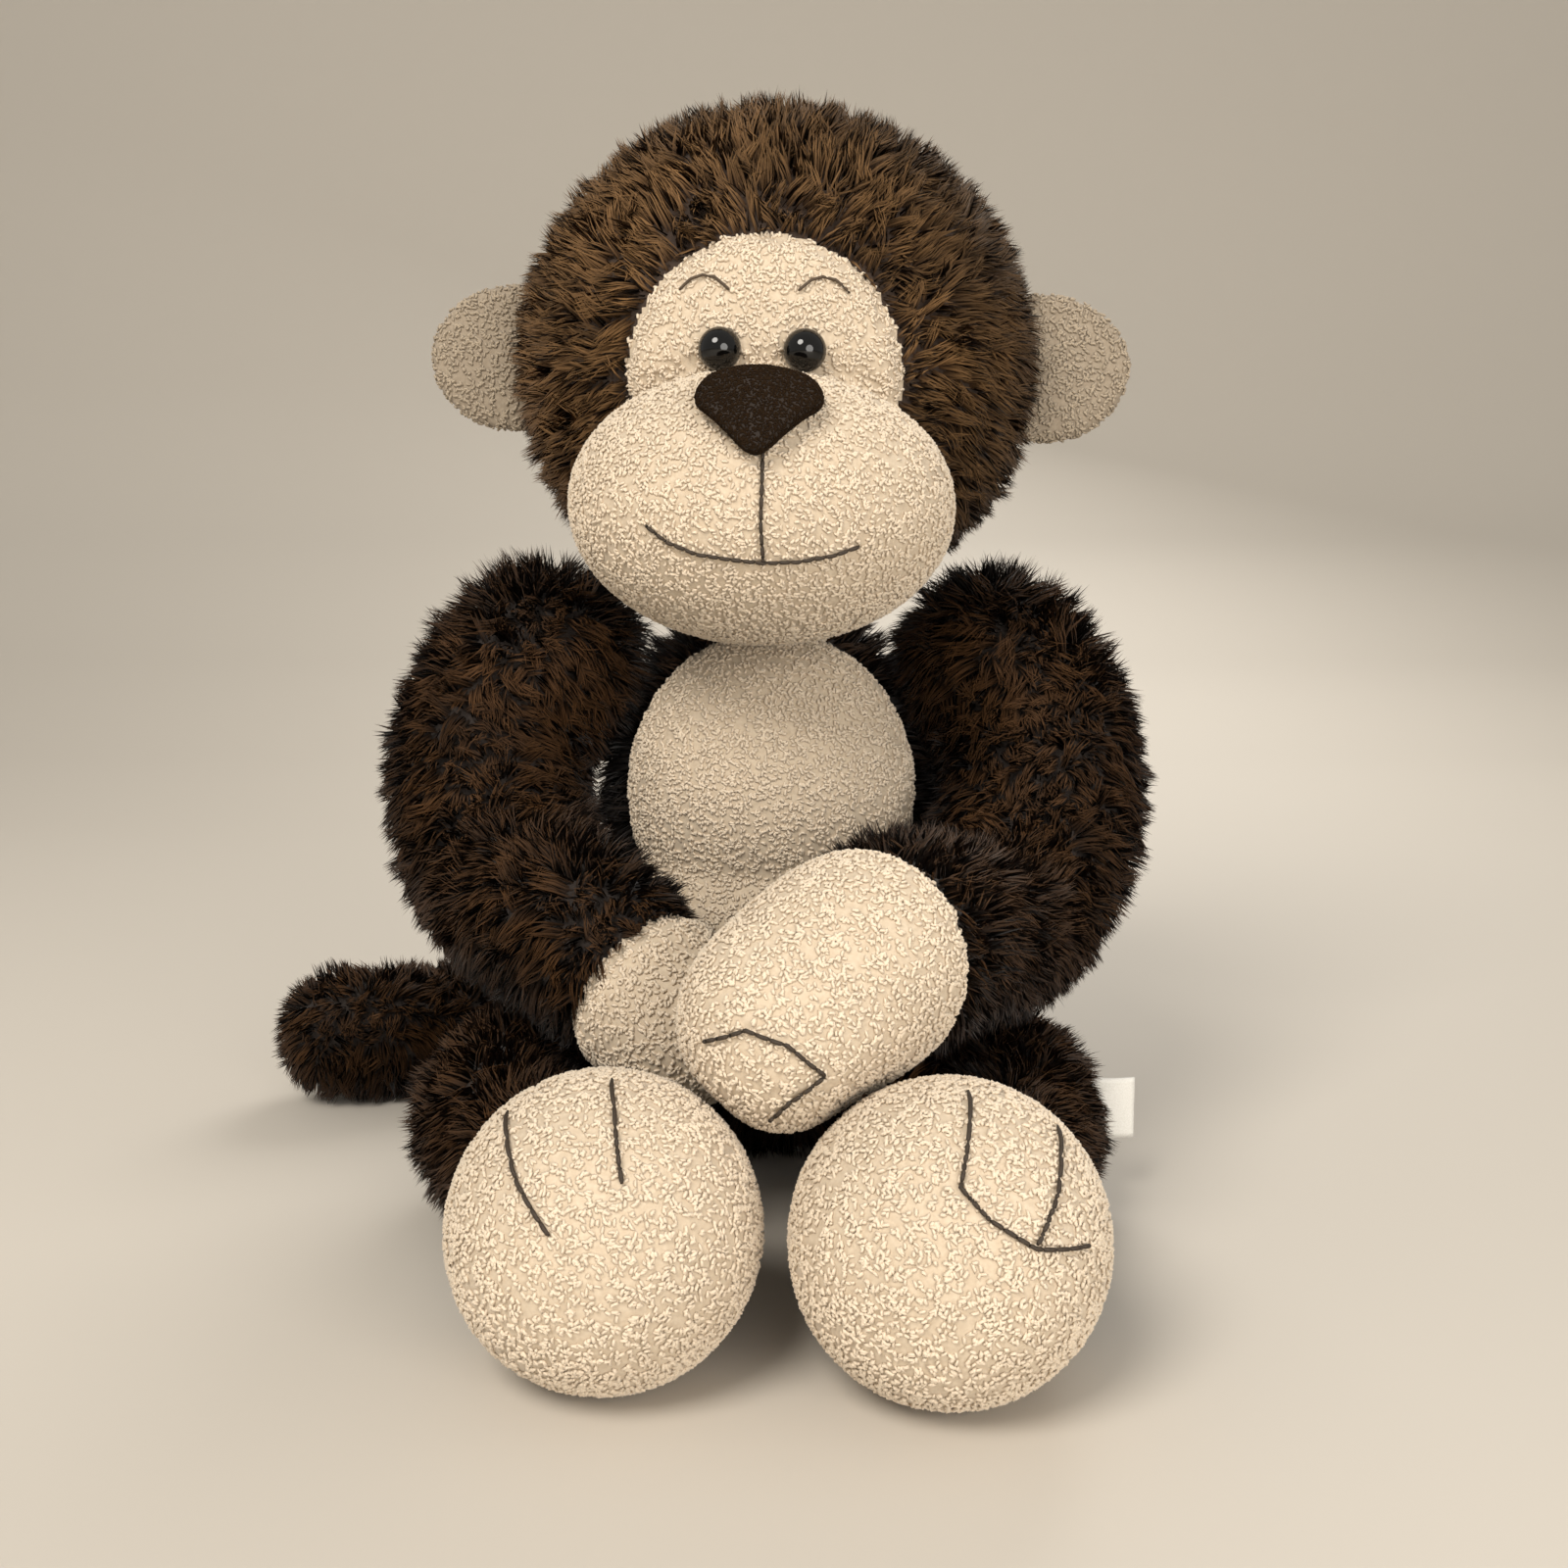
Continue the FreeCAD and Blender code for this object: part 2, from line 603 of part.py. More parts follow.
def check(pieces):
    """Stops if anything in the document failed, or a piece isn't one good closed solid."""
    for obj in DOC.Objects:
        if "Invalid" in obj.State or "Error" in obj.State:
            raise SystemExit(f"{obj.Label} failed: {obj.State}")
    for piece in pieces:
        shape = piece.Shape
        if shape.isNull() or not shape.isValid() or not shape.Solids:
            raise SystemExit(f"{piece.Label} is not a good solid")
        print(f"{piece.Label:22s} {len(shape.Solids)} solid, {shape.Volume / 1000:8.2f} cm3")


def write(pieces):
    os.makedirs("parts", exist_ok=True)
    for piece in pieces:
        piece.Shape.exportStep(os.path.join("parts", f"{piece.Label}.step"))


PIECES = build()
check(PIECES)
write(PIECES)
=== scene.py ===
"""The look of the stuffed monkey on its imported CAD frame: puffed cloth, fur, boucle, eyes and thread."""

import json
import math

import bmesh
import bpy
import numpy as np
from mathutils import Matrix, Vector
from mathutils.bvhtree import BVHTree
from mathutils.kdtree import KDTree


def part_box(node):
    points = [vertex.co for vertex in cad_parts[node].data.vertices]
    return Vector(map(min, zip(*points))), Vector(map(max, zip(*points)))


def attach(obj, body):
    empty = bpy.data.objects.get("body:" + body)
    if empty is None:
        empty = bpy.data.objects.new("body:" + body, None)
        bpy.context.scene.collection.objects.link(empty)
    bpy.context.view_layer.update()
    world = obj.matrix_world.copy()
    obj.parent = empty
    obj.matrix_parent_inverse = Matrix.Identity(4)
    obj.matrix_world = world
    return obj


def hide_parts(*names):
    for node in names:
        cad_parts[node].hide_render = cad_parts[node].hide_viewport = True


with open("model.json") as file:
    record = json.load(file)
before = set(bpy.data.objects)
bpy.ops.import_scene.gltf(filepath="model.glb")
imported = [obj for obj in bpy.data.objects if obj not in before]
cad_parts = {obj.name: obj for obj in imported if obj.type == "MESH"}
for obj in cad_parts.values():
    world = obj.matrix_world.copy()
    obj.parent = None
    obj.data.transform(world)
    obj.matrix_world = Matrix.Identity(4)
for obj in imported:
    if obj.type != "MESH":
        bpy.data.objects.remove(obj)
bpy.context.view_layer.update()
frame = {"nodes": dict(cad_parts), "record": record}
MM = 0.001
FLOOR_GAP = 0.3 * MM
VOXEL = 3.5 * MM
FUR_BASE = -1.0 * MM     # fur cloth, from the surface of the filling
CREAM_BASE = 2.2 * MM    # boucle cloth, from the surface of the filling
CLOTH_FRAMES = 20
SEAM_FADE = 7.0 * MM     # how far from a seam the cloth stands at its full height


# ---- meshes as arrays

def arrays(mesh):
    """Points and corner lists of a mesh."""
    co = np.empty(len(mesh.vertices) * 3)
    mesh.vertices.foreach_get("co", co)
    return co.reshape(-1, 3), [tuple(p.vertices) for p in mesh.polygons]


def new_object(name, points, faces, smooth=True):
    mesh = bpy.data.meshes.new(name)
    mesh.from_pydata([tuple(p) for p in points], [], faces)
    mesh.update()
    if smooth:
        mesh.polygons.foreach_set("use_smooth", [True] * len(mesh.polygons))
    obj = bpy.data.objects.new(name, mesh)
    bpy.context.scene.collection.objects.link(obj)
    return obj


def fast_mesh(name, points, triangles, uvs=None, normals=None):
    """A mesh of triangles from arrays, with an optional UV and normal for each point."""
    mesh = bpy.data.meshes.new(name)
    mesh.vertices.add(len(points))
    mesh.vertices.foreach_set("co", np.ascontiguousarray(points, np.float32).ravel())
    mesh.loops.add(triangles.size)
    mesh.loops.foreach_set("vertex_index", np.ascontiguousarray(triangles, np.int32).ravel())
    mesh.polygons.add(len(triangles))
    mesh.polygons.foreach_set("loop_start", np.arange(0, triangles.size, 3, dtype=np.int32))
    mesh.update(calc_edges=True)
    mesh.polygons.foreach_set("use_smooth", np.ones(len(triangles), bool))
    if uvs is not None:
        layer = mesh.uv_layers.new(name="OFBake")
        layer.data.foreach_set("uv", np.ascontiguousarray(uvs[triangles.ravel()], np.float32).ravel())
    if normals is not None:
        mesh.normals_split_custom_set_from_vertices(np.ascontiguousarray(normals, np.float32))
    obj = bpy.data.objects.new(name, mesh)
    bpy.context.scene.collection.objects.link(obj)
    return obj


def welded_copy(node, name):
    """A copy of a CAD node's mesh with its points joined, as a new object."""
    bm = bmesh.new()
    bm.from_mesh(frame["nodes"][node].data)
    bmesh.ops.remove_doubles(bm, verts=bm.verts, dist=0.02 * MM)
    mesh = bpy.data.meshes.new(name)
    bm.to_mesh(mesh)
    bm.free()
    obj = bpy.data.objects.new(name, mesh)
    bpy.context.scene.collection.objects.link(obj)
    return obj


def evaluated(obj):
    """The object's mesh with its modifiers, as a fresh mesh."""
    graph = bpy.context.evaluated_depsgraph_get()
    return bpy.data.meshes.new_from_object(obj.evaluated_get(graph), depsgraph=graph)


def bake_modifiers(obj):
    done = evaluated(obj)
    obj.modifiers.clear()
    obj.data = done
    return obj


def keep_largest(obj):
    """Drops everything but the largest connected island, such as the wall of an inner pocket."""
    bm = bmesh.new()
    bm.from_mesh(obj.data)
    left, islands = set(bm.verts), []
    while left:
        island, edge = set(), [left.pop()]
        while edge:
            vert = edge.pop()
            island.add(vert)
            for link in vert.link_edges:
                other = link.other_vert(vert)
                if other in left:
                    left.discard(other)
                    edge.append(other)
        islands.append(island)
    islands.sort(key=len)
    for island in islands[:-1]:
        bmesh.ops.delete(bm, geom=list(island), context="VERTS")
    bm.to_mesh(obj.data)
    bm.free()


def remeshed(obj, voxel, smooth_steps):
    remesh = obj.modifiers.new("even", "REMESH")
    remesh.mode = "VOXEL"
    remesh.voxel_size = voxel
    smooth = obj.modifiers.new("smooth", "SMOOTH")
    smooth.factor = 0.5
    smooth.iterations = smooth_steps
    bake_modifiers(obj)
    keep_largest(obj)
    return obj


def vertex_normals(points, faces):
    """Smooth normals of a mesh given as arrays; faces may be triangles or quads."""
    normals = np.zeros_like(points)
    for count in (3, 4):
        some = np.array([f for f in faces if len(f) == count], int)
        if not len(some):
            continue
        a, b, c = points[some[:, 0]], points[some[:, 1]], points[some[:, 2]]
        cross = np.cross(b - a, c - a) if count == 3 else np.cross(c - a, points[some[:, 3]] - b)
        for corner in range(count):
            np.add.at(normals, some[:, corner], cross)
    return unit(normals)


def unit(vectors):
    return vectors / np.maximum(np.linalg.norm(vectors, axis=1, keepdims=True), 1e-12)


def smooth_noise(points, scale, seed):
    """Soft noise from -1 to 1 that varies over scale metres, from a few waves in random directions."""
    rng = np.random.default_rng(seed)
    total = np.zeros(len(points))
    for _ in range(7):
        way = rng.normal(size=3)
        way *= rng.uniform(0.6, 1.5) * 2 * math.pi / (scale * np.linalg.norm(way))
        total += np.sin(points @ way + rng.uniform(0, 2 * math.pi))
    return total / 3.2


# ---- cloth skins

PARTS = {  # filling node: (body, {shell node: kind})
    "torso_stuffing": ("torso", {"torso_fur": "fur", "belly_panel": "cream"}),
    "head_stuffing": ("head", {"head_fur": "fur", "forehead_panel": "cream", "muzzle_panel": "cream"}),
    "arm_stuffing_left": ("arm_left", {"arm_fur_left": "fur", "hand_left": "cream"}),
    "arm_stuffing_right": ("arm_right", {"arm_fur_right": "fur", "hand_right": "cream"}),
    "leg_stuffing_left": ("leg_left", {"leg_fur_left": "fur", "foot_left": "cream"}),
    "leg_stuffing_right": ("leg_right", {"leg_fur_right": "fur", "foot_right": "cream"}),
    "tail_stuffing": ("tail", {"tail_fur": "fur"}),
}
ALSO_REPLACED = {
    "torso_fur": ["torso_stuffing", "seat_pellet_pouch"],
    "head_fur": ["head_stuffing"],
    "arm_fur_left": ["arm_stuffing_left"],
    "arm_fur_right": ["arm_stuffing_right"],
    "leg_fur_left": ["leg_stuffing_left"],
    "leg_fur_right": ["leg_stuffing_right"],
    "tail_fur": ["tail_stuffing"],
}


def node_tree(node):
    """A search tree over a CAD node's faces."""
    points, faces = arrays(frame["nodes"][node].data)
    return BVHTree.FromPolygons([tuple(p) for p in points], faces)


def nearest_shell(points, shells):
    """For each point, the number of the shell node that lies nearest."""
    trees = [node_tree(node) for node in shells]
    return np.array([
        int(np.argmin([tree.find_nearest(Vector(p))[3] for tree in trees])) for p in points
    ])


def distance_to(points, marks):
    """Distance of each point to the nearest of some marks, or a long way when there are none."""
    if not len(marks):
        return np.full(len(points), 1.0)
    tree = KDTree(len(marks))
    for number, mark in enumerate(marks):
        tree.insert(Vector(mark), number)
    tree.balance()
    return np.array([tree.find(Vector(p))[2] for p in points])


def seam_points(points, faces, owner):
    """Points on the seams: those of faces of more than one shell."""
    owners = [set() for _ in points]
    for face, who in zip(faces, owner):
        for corner in face:
            owners[corner].add(int(who))
    return np.array([len(who) > 1 for who in owners])


def face_centres(points, faces):
    return np.array([points[list(face)].mean(0) for face in faces])


def add_cloth(obj, pinned):
    """Air pressure in the cloth, which is held along its seams."""
    group = obj.vertex_groups.new(name="seams")
    group.add([int(i) for i in np.flatnonzero(pinned)], 1.0, "REPLACE")
    cloth = obj.modifiers.new("cloth", "CLOTH")
    values = cloth.settings
    values.quality = 5
    values.mass = 0.15
    values.tension_stiffness = values.compression_stiffness = 18
    values.shear_stiffness = 8
    values.bending_stiffness = 0.6
    values.use_pressure = True
    values.uniform_pressure_force = 4.0
    values.vertex_group_mass = "seams"
    values.effector_weights.gravity = 0.0
    cloth.collision_settings.use_collision = False
    cloth.collision_settings.use_self_collision = False
    cloth.point_cache.frame_start = 1
    cloth.point_cache.frame_end = CLOTH_FRAMES


def puffed(objects, furthest=2.2 * MM):
    """Runs the cloth of all skins and keeps each point's movement along its normal, up to furthest."""
    scene = bpy.context.scene
    scene.frame_start, scene.frame_end = 1, CLOTH_FRAMES
    for number in range(1, CLOTH_FRAMES + 1):
        scene.frame_set(number)
    for obj in objects:
        after, _ = arrays(evaluated(obj))
        before, faces = arrays(obj.data)
        normals = vertex_normals(before, faces)
        moved = np.einsum("ij,ij->i", after - before, normals)
        moved = np.clip(moved - np.median(moved), -furthest, furthest)
        obj.modifiers.clear()
        obj.data.vertices.foreach_set("co", (before + normals * moved[:, None]).ravel())
        obj.data.update()
    scene.frame_set(1)


def subdivided(obj):
    finer = obj.modifiers.new("finer", "SUBSURF")
    finer.levels = finer.render_levels = 1
    return bake_modifiers(obj)


def split_skins(part, obj):
    """Splits one puffed skin into its sewn panels.

    Gives {shell node: (points, faces, normals, distance to the seam)}.
    """
    shells = part[1]
    names = list(shells)
    points, faces = arrays(obj.data)
    normals = vertex_normals(points, faces)
    owner = nearest_shell(face_centres(points, faces), names)
    seam = seam_points(points, faces, owner)
    away = distance_to(points, points[seam])
    rise = np.clip(away / SEAM_FADE, 0, 1)
    rise = rise * rise * (3 - 2 * rise)
    skins = {}
    for number, node in enumerate(names):
        mine = [face for face, who in zip(faces, owner) if who == number]
        used = np.unique(np.concatenate([np.array(face) for face in mine]))
        place = np.full(len(points), -1)
        place[used] = np.arange(len(used))
        height = FUR_BASE + ((CREAM_BASE - FUR_BASE) * rise if shells[node] == "cream" else 0.0)
        moved = points + normals * (np.zeros(len(points)) + height)[:, None]
        moved[:, 2] = np.maximum(moved[:, 2], FLOOR_GAP)
        skins[node] = (moved[used], [tuple(place[list(face)]) for face in mine], normals[used], away[used])
    return skins


def make_skins():
    raw = {}
    for filling in PARTS:
        obj = remeshed(welded_copy(filling, f"skin_{filling}"), VOXEL, 6)
        names = list(PARTS[filling][1])
        points, faces = arrays(obj.data)
        owner = nearest_shell(face_centres(points, faces), names)
        add_cloth(obj, seam_points(points, faces, owner))
        raw[filling] = obj
    puffed(list(raw.values()))
    skins = {}
    for filling, obj in raw.items():
        skins.update(split_skins(PARTS[filling], subdivided(obj)))
        bpy.data.objects.remove(obj)
    return skins


# ---- materials

def new_material(name):
    mat = bpy.data.materials.new(name)
    mat.use_nodes = True
    tree = mat.node_tree
    return mat, tree, tree.nodes["Principled BSDF"]


def ramp_node(tree, stops):
    ramp = tree.nodes.new("ShaderNodeValToRGB")
    elements = ramp.color_ramp.elements
    while len(elements) < len(stops):
        elements.new(0.5)
    for element, (place, colour) in zip(elements, stops):
        element.position = place
        element.color = (*colour, 1.0)
    return ramp


def mixed(tree, kind, factor, first, second):
    node = tree.nodes.new("ShaderNodeMix")
    node.data_type = "RGBA"
    node.blend_type = kind
    for socket, value in ((node.inputs[0], factor), (node.inputs[6], first), (node.inputs[7], second)):
        if hasattr(value, "is_output"):
            tree.links.new(value, socket)
        else:
            socket.default_value = value
    return node.outputs[2]


def pile_material(name, root, tip, dark, light, rough, sheen, shine):
    """Cloth fibres, coloured from root to tip along the fibre (v); on the boucle curls v runs from
    underside to top instead, painted shade beneath each curl and a painted highlight on its top.

    dark and light scale that colour from lock to lock (u).
    """
    mat, tree, shader = new_material(name)
    uv = tree.nodes.new("ShaderNodeUVMap")
    uv.uv_map = "OFBake"
    apart = tree.nodes.new("ShaderNodeSeparateXYZ")
    tree.links.new(uv.outputs[0], apart.inputs[0])
    along = ramp_node(tree, [(0.0, root), (0.45, [(a + b) / 2 for a, b in zip(root, tip)]), (1.0, tip)])
    tone = ramp_node(tree, [(0.0, (dark,) * 3), (1.0, (light,) * 3)])
    tree.links.new(apart.outputs[1], along.inputs[0])
    tree.links.new(apart.outputs[0], tone.inputs[0])
    colour = mixed(tree, "MULTIPLY", 1.0, along.outputs[0], tone.outputs[0])
    tree.links.new(colour, shader.inputs["Base Color"])
    shader.inputs["Roughness"].default_value = rough
    shader.inputs["Specular IOR Level"].default_value = shine
    shader.inputs["Sheen Weight"].default_value = sheen
    shader.inputs["Sheen Roughness"].default_value = 0.45
    return mat


def cloth_material(name, colour, other, rough, scale, bump, sheen=0.2):
    """Woven or knitted backing cloth with a fine grain and slow changes of tone."""
    mat, tree, shader = new_material(name)
    where = tree.nodes.new("ShaderNodeTexCoord")
    grain = tree.nodes.new("ShaderNodeTexNoise")
    grain.inputs["Scale"].default_value = scale
    grain.inputs["Detail"].default_value = 4.0
    tree.links.new(where.outputs["Object"], grain.inputs["Vector"])
    ramp = ramp_node(tree, [(0.3, colour), (0.7, other)])
    tree.links.new(grain.outputs[0], ramp.inputs[0])
    tree.links.new(ramp.outputs[0], shader.inputs["Base Color"])
    raised = tree.nodes.new("ShaderNodeBump")
    raised.inputs["Strength"].default_value = bump
    raised.inputs["Distance"].default_value = 0.4 * MM
    tree.links.new(grain.outputs[0], raised.inputs["Height"])
    tree.links.new(raised.outputs[0], shader.inputs["Normal"])
    shader.inputs["Roughness"].default_value = rough
    shader.inputs["Sheen Weight"].default_value = sheen
    return mat


# Colours are linear.
HEAD_PILE = pile_material(
    "head_pile", (0.026, 0.0115, 0.0042), (0.190, 0.103, 0.041), 0.45, 1.55, 0.6, 0.05, 0.10)
DARK_PILE = pile_material(
    "dark_pile", (0.009, 0.0040, 0.0014), (0.066, 0.030, 0.0105), 0.45, 1.6, 0.6, 0.05, 0.10)
CREAM_PILE = pile_material(
    "cream_boucle", (0.52, 0.42, 0.30), (0.715, 0.605, 0.47), 0.94, 1.05, 0.85, 0.2, 0.15)
# The ears' boucle is a darker copy of the cream boucle: painted shade.
EAR_PAINTED_SHADE_PILE = pile_material(
    "ear_painted_shade_boucle", (0.27, 0.215, 0.15), (0.40, 0.33, 0.245), 0.92, 1.06, 0.85, 0.15, 0.1)
NOSE_PILE = pile_material(
    "nose_fleece", (0.007, 0.0038, 0.0016), (0.020, 0.011, 0.0050), 0.75, 1.25, 0.8, 0.02, 0.03)
HEAD_CLOTH = cloth_material(
    "head_backing", (0.022, 0.010, 0.0036), (0.034, 0.016, 0.006), 0.85, 900, 0.3)
DARK_CLOTH = cloth_material(
    "dark_backing", (0.009, 0.0042, 0.0016), (0.015, 0.007, 0.003), 0.85, 900, 0.3)
CREAM_CLOTH = cloth_material(
    "cream_backing", (0.50, 0.40, 0.285), (0.59, 0.49, 0.365), 0.85, 700, 0.5)
# The ears' backing is a darker copy of the cream backing: painted shade.
EAR_PAINTED_SHADE_CLOTH = cloth_material(
    "ear_painted_shade_backing", (0.26, 0.205, 0.145), (0.32, 0.26, 0.19), 0.85, 700, 0.5)
NOSE_CLOTH = cloth_material(
    "nose_backing", (0.012, 0.0065, 0.003), (0.020, 0.011, 0.0055), 0.85, 900, 0.4, 0.0)
KNIT_CLOTH = cloth_material(
    "neck_knit", (0.012, 0.006, 0.0026), (0.020, 0.010, 0.0045), 0.85, 1100, 0.5, 0.0)
THREAD = cloth_material(
    "thread", (0.020, 0.013, 0.007), (0.048, 0.031, 0.018), 0.7, 2500, 0.5, 0.0)
BROW_THREAD = cloth_material(
    "brow_thread", (0.045, 0.028, 0.014), (0.085, 0.055, 0.030), 0.7, 2500, 0.5, 0.0)
LABEL_CLOTH = cloth_material("label_tape", (0.70, 0.68, 0.62), (0.80, 0.78, 0.73), 0.6, 2500, 0.2)


def eye_material():
    """Glossy black plastic, with a faint unevenness in its polish."""
    mat, tree, shader = new_material("eye_black")
    grain = tree.nodes.new("ShaderNodeTexNoise")
    grain.inputs["Scale"].default_value = 600.0
    polish = ramp_node(tree, [(0.3, (0.05,) * 3), (0.7, (0.09,) * 3)])
    tree.links.new(grain.outputs[0], polish.inputs[0])
    tree.links.new(polish.outputs[0], shader.inputs["Roughness"])
    shader.inputs["Base Color"].default_value = (0.0025, 0.0022, 0.0020, 1)
    shader.inputs["Specular IOR Level"].default_value = 0.45
    return mat


EYE_BLACK = eye_material()


# ---- fur and boucle

CM2_PER_M2 = 1e4
MOST_BLADES = 62000      # three triangles each
MOST_CURLS = 12000       # sixteen triangles each


def scattered(skin, count, rng):
    """Random places on a skin, even by area: points, normals and distance to the nearest seam."""
    points, faces, normals, away = skin
    halves = (([f] if len(f) == 3 else [f[:3], (f[0], f[2], f[3])]) for f in faces)
    triangles = np.array([triangle for pair in halves for triangle in pair], int)
    a, b, c = (points[triangles[:, k]] for k in range(3))
    area = np.linalg.norm(np.cross(b - a, c - a), axis=1)
    chosen = rng.choice(len(triangles), count, p=area / area.sum())
    u, v = rng.random(count), rng.random(count)
    over = u + v > 1
    u[over], v[over] = 1 - u[over], 1 - v[over]
    weights = np.stack([1 - u - v, u, v], 1)
    corner = triangles[chosen]
    place = np.einsum("nk,nkd->nd", weights, points[corner])
    normal = unit(np.einsum("nk,nkd->nd", weights, normals[corner]))
    return place, normal, np.einsum("nk,nk->n", weights, away[corner])


def skin_area(skin):
    points, faces = skin[0], skin[1]
    total = 0.0
    for f in faces:
        a, b, c = points[f[0]], points[f[1]], points[f[2]]
        total += np.linalg.norm(np.cross(b - a, c - a)) / 2
        if len(f) == 4:
            total += np.linalg.norm(np.cross(c - a, points[f[3]] - a)) / 2
    return total


def nearest_of(points, centres):
    tree = KDTree(len(centres))
    for number, centre in enumerate(centres):
        tree.insert(Vector(centre), number)
    tree.balance()
    return np.array([tree.find(Vector(p))[1] for p in points])


def fur(name, skin, look, seed):
    """Locks of pile as thin tapered blades that lean, bend and gather at their tips."""
    rng = np.random.default_rng(seed)
    count = min(int(skin_area(skin) * CM2_PER_M2 * look["per_cm2"]), MOST_BLADES)
    root, normal, away = scattered(skin, count, rng)
    locks = root[rng.choice(count, max(count // look["lock"], 8), replace=False)]
    lock = nearest_of(root, locks)
    lock_lean = rng.normal(size=(len(locks), 3))
    comb = look["comb"](root)
    flow = np.stack([smooth_noise(root, 30 * MM, seed + k) for k in range(3)], 1)
    lean = comb + 0.35 * flow + look["stray"] * lock_lean[lock] + 0.12 * rng.normal(size=(count, 3))
    lean -= normal * np.einsum("ij,ij->i", lean, normal)[:, None]
    lock_long = rng.uniform(0.8, 1.12, len(locks))[lock]
    length = look["length"] * lock_long * rng.uniform(0.82, 1.1, count)
    length = length * np.clip(0.62 + away / (22 * MM), 0, 1) * look["trim"](root)
    first = unit(normal * look["stand"] + lean * look["lean"])
    reach = first * length[:, None]
    middle = root + first * (length * 0.5)[:, None]
    bent = unit(first + lean * 0.55 + np.array([0, 0, -0.18]))
    tip = middle + bent * (length * 0.5)[:, None]
    gather = locks[lock] + reach
    pull = look["gather"] * rng.uniform(0.5, 1.0, count)[:, None]
    tip = tip * (1 - pull) + gather * pull
    middle = middle * (1 - pull * 0.35) + (locks[lock] + (gather - locks[lock]) * 0.5) * pull * 0.35
    side = unit(np.cross(first, normal + 0.6 * rng.normal(size=(count, 3))))
    width = look["width"] * rng.uniform(0.7, 1.25, count)[:, None] / 2
    points = np.stack([root - side * width, root + side * width, middle - side * width * 0.85,
                       middle + side * width * 0.85, tip], 1).reshape(-1, 3)
    points[:, 2] = np.maximum(points[:, 2], FLOOR_GAP)
    soft = unit(normal * 0.8 + first * 0.25)
    shade = np.stack([soft - side * 0.45, soft + side * 0.45, soft - side * 0.45, soft + side * 0.45,
                      soft + bent * 0.3], 1).reshape(-1, 3)
    shade = unit(shade)
    start = np.arange(count)[:, None, None] * 5
    triangles = (start + np.array([[0, 1, 3], [0, 3, 2], [2, 3, 4]])).reshape(-1, 3)
    tone = 0.5 + 0.20 * smooth_noise(root, 38 * MM, seed + 9) + 0.13 * rng.normal(size=len(locks))[lock]
    tone = np.clip(tone + 0.10 * rng.normal(size=count) + look["tone"](root), 0.02, 0.98)
    uvs = np.stack([np.repeat(tone, 5), np.tile([0.02, 0.02, 0.5, 0.5, 0.98], count)], 1)
    obj = fast_mesh(name, points, triangles, uvs, shade)
    obj.data.materials.append(look["material"])
    return obj


def boucle(name, skin, seed, per_cm2=62, size=0.84, material=None, lift=0.25):
    """Small curls like grains of rice, lying every way on the cloth and arched a little off it."""
    rng = np.random.default_rng(seed)
    count = min(int(skin_area(skin) * CM2_PER_M2 * per_cm2), MOST_CURLS)
    place, normal, _ = scattered(skin, count, rng)
    way = rng.normal(size=(count, 3))
    way = unit(way - normal * np.einsum("ij,ij->i", way, normal)[:, None])
    across = np.cross(normal, way)
    long = size * rng.uniform(0.85, 1.5, count)[:, None] * MM
    thick = size * rng.uniform(0.42, 0.62, count)[:, None] * MM
    tilt = rng.uniform(-0.45, 0.45, count)[:, None]
    bow = rng.uniform(-0.5, 0.5, count)[:, None]
    rings = []
    for share, radius in ((-1.0, 0.0), (-0.45, 1.0), (0.45, 1.0), (1.0, 0.0)):
        arch = (1 - share * share) * 0.55
        middle = (place + way * long * share + normal * (thick * (lift + arch) + long * tilt * share)
                  + across * bow * long * (1 - share * share))
        if radius == 0:
            rings.append(middle[:, None])
            continue
        corners = [across, normal, -across, -normal]
        rings.append(np.stack([middle + corner * thick * radius for corner in corners], 1))
    points = np.concatenate(rings, 1)
    points[:, :, 2] = np.maximum(points[:, :, 2], FLOOR_GAP)
    ring = [[0, 1 + (k + 1) % 4, 1 + k] for k in range(4)]
    for k in range(4):
        after = (k + 1) % 4
        ring += [[1 + k, 1 + after, 5 + after], [1 + k, 5 + after, 5 + k]]
    ring += [[9, 5 + k, 5 + (k + 1) % 4] for k in range(4)]
    start = np.arange(count)[:, None, None] * 10
    triangles = (start + np.array(ring)).reshape(-1, 3)
    tone = 0.5 + 0.18 * rng.normal(size=count) + 0.12 * smooth_noise(place, 25 * MM, seed)
    tone = np.clip(tone, 0.02, 0.98)
    # Each curl's top takes the light end of the colour ramp and its underside by the cloth the dark end: a
    # painted highlight on top and painted shade beneath.
    high = np.tile([0.45, 0.6, 0.95, 0.6, 0.2, 0.6, 0.95, 0.6, 0.2, 0.45], count)
    obj = fast_mesh(name, points.reshape(-1, 3), triangles, np.stack([np.repeat(tone, 10), high], 1))
    obj.data.materials.append(material or CREAM_PILE)
    return obj


# ---- building the toy

def down(points):
    return np.tile(np.array([0.0, 0.0, -0.55]), (len(points), 1))


def middle_of(*nodes):
    corners = [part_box(node) for node in nodes]
    low = Vector([min(c[0][k] for c in corners) for k in range(3)])
    high = Vector([max(c[1][k] for c in corners) for k in range(3)])
    return (low + high) / 2, high - low


def head_comb(points):
    """The head's pile runs away from the face, back and to the sides, and stands at the crown."""
    centre, size = middle_of("head_fur")
    away = (points - np.array(centre)) / (size.z / 2)
    comb = np.stack([0.35 * away[:, 0], 0.25 + 0 * away[:, 1], 0.25 * away[:, 2] - 0.25], 1)
    return comb


